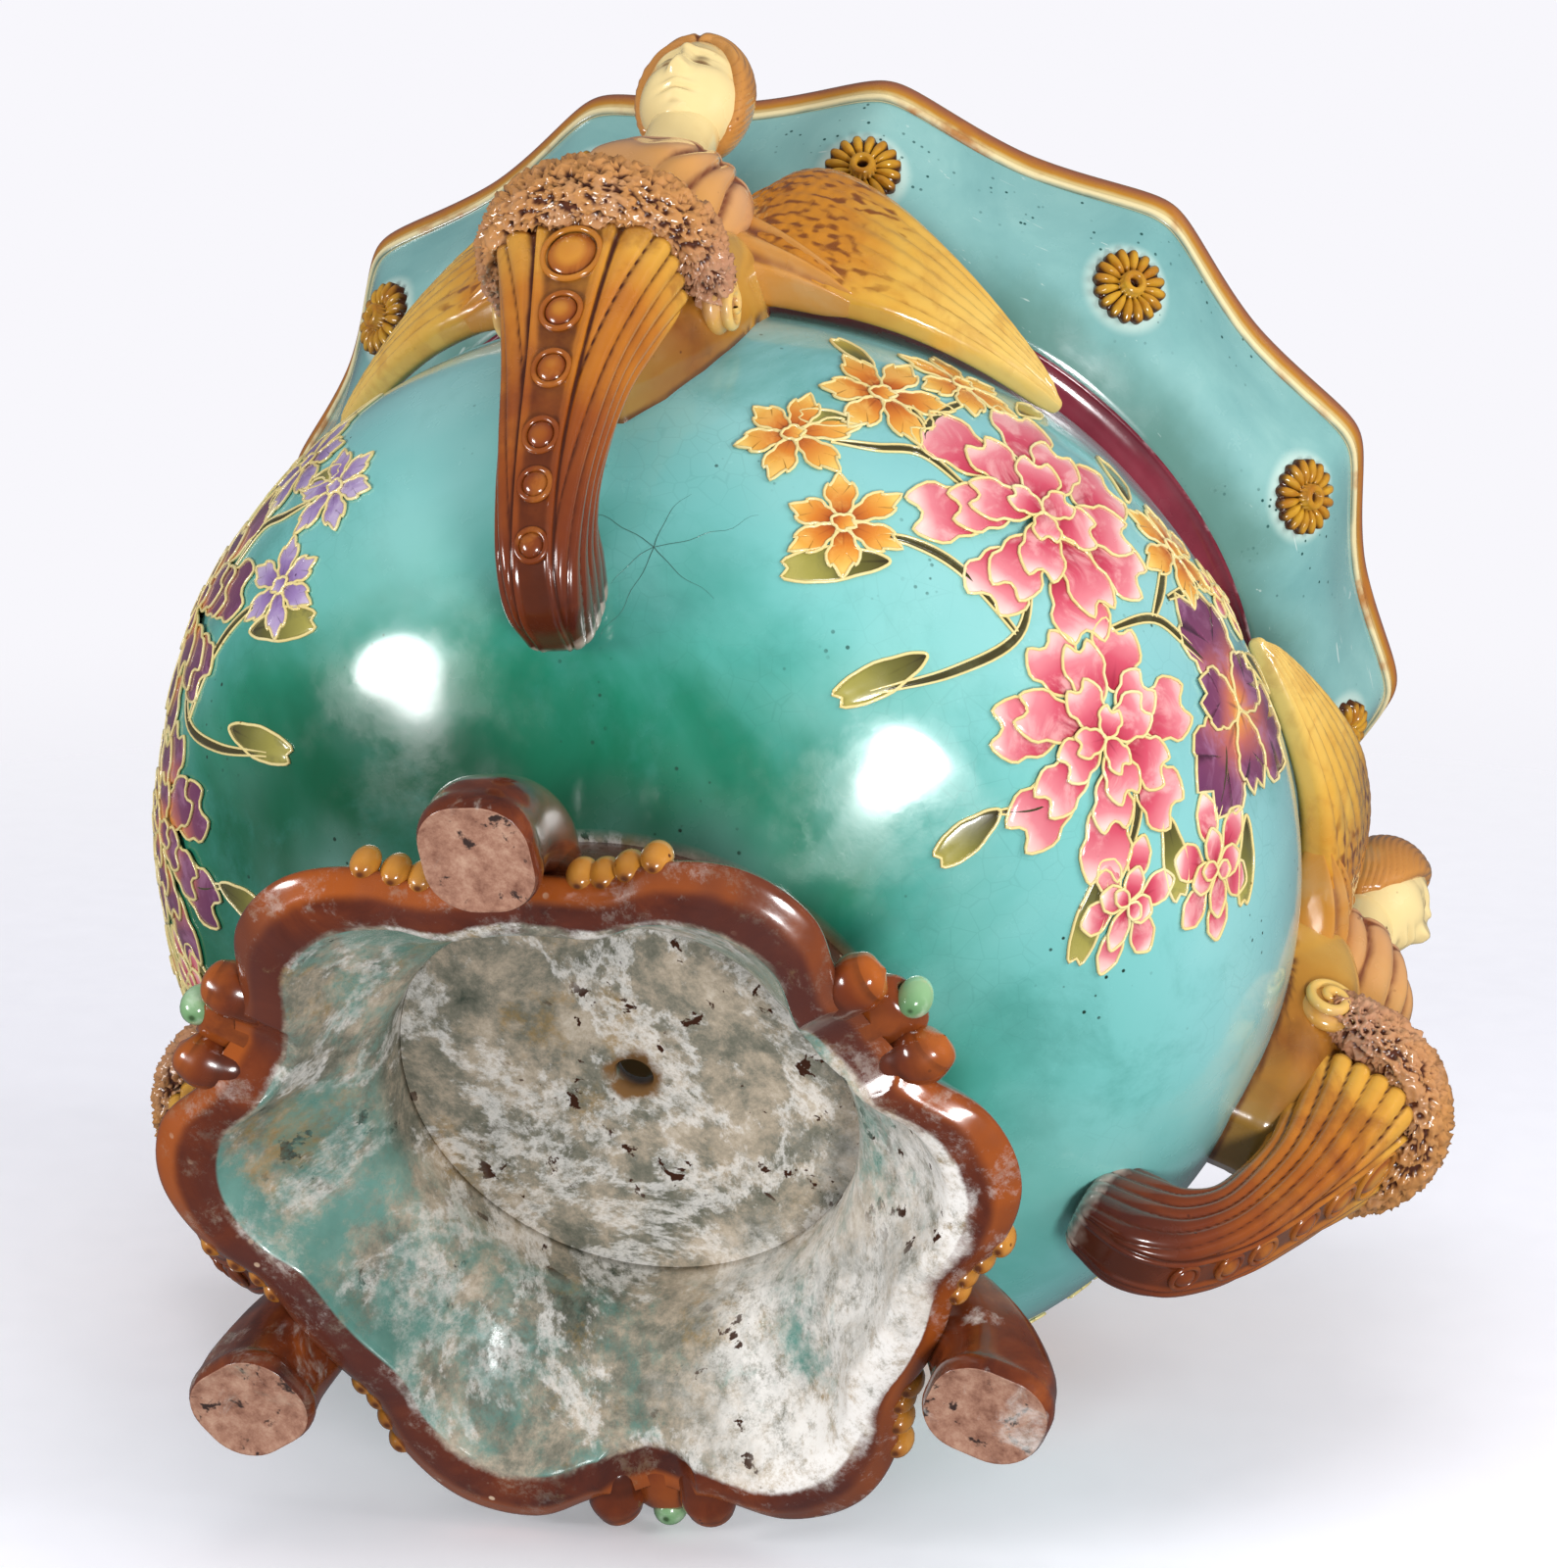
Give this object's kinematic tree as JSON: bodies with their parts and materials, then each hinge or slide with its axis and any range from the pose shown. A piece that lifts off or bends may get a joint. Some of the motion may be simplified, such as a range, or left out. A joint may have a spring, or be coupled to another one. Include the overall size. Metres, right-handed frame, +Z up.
{
  "type": "faience cachepot",
  "caption": "Round-bellied glazed cachepot on a footed stand, with a lobed rim and winged-figure horn handles, for holding a potted plant.",
  "frame": {"origin": "middle of the three feet, on the plane they stand on", "axes": "+Z up along the pot's axis, +Y to the back handle, -Y to the front clasp"},
  "size_m": [0.481, 0.4743, 0.402],
  "materials": {
    "turquoise_glaze": "gloss, crazed lead glaze",
    "maroon_glaze": "gloss, crazed lead glaze",
    "ochre_glaze": "gloss, crazed lead glaze",
    "brown_glaze": "gloss, crazed lead glaze",
    "amber_glaze": "gloss, crazed lead glaze",
    "crust_glaze": "gloss, crazed lead glaze",
    "pearl_glaze": "gloss, crazed lead glaze",
    "mauve_glaze": "gloss, crazed lead glaze",
    "ivory_glaze": "gloss, crazed lead glaze",
    "hair_glaze": "gloss, crazed lead glaze",
    "feather_glaze": "gloss, crazed lead glaze",
    "jewel_glaze": "gloss, crazed lead glaze"
  },
  "bodies": {
    "root": {"bowl": "turquoise_glaze", "neck_band": "maroon_glaze", "rim_flange": "turquoise_glaze", "rim_lip": "ochre_glaze", "rim_rosettes": "ochre_glaze", "stand_skirt": "brown_glaze", "back_horn": "amber_glaze", "back_horn_crust": "crust_glaze", "back_horn_pearls": "pearl_glaze", "back_bracket": "amber_glaze", "back_figure_torso": "mauve_glaze", "back_figure_head": "ivory_glaze", "back_figure_hair": "hair_glaze", "back_figure_wing_a": "feather_glaze", "back_figure_wing_b": "feather_glaze", "back_foot": "brown_glaze", "back_foot_beads": "feather_glaze", "left_horn": "amber_glaze", "left_horn_crust": "crust_glaze", "left_horn_pearls": "pearl_glaze", "left_bracket": "amber_glaze", "left_figure_torso": "mauve_glaze", "left_figure_head": "ivory_glaze", "left_figure_hair": "hair_glaze", "left_figure_wing_a": "feather_glaze", "left_figure_wing_b": "feather_glaze", "left_foot": "brown_glaze", "left_foot_beads": "feather_glaze", "right_horn": "amber_glaze", "right_horn_crust": "crust_glaze", "right_horn_pearls": "pearl_glaze", "right_bracket": "amber_glaze", "right_figure_torso": "mauve_glaze", "right_figure_head": "ivory_glaze", "right_figure_hair": "hair_glaze", "right_figure_wing_a": "feather_glaze", "right_figure_wing_b": "feather_glaze", "right_foot": "brown_glaze", "right_foot_beads": "feather_glaze", "left_clasp": "brown_glaze", "left_clasp_jewel": "jewel_glaze", "front_clasp": "brown_glaze", "front_clasp_jewel": "jewel_glaze", "right_clasp": "brown_glaze", "right_clasp_jewel": "jewel_glaze"}
  },
  "joints": []
}
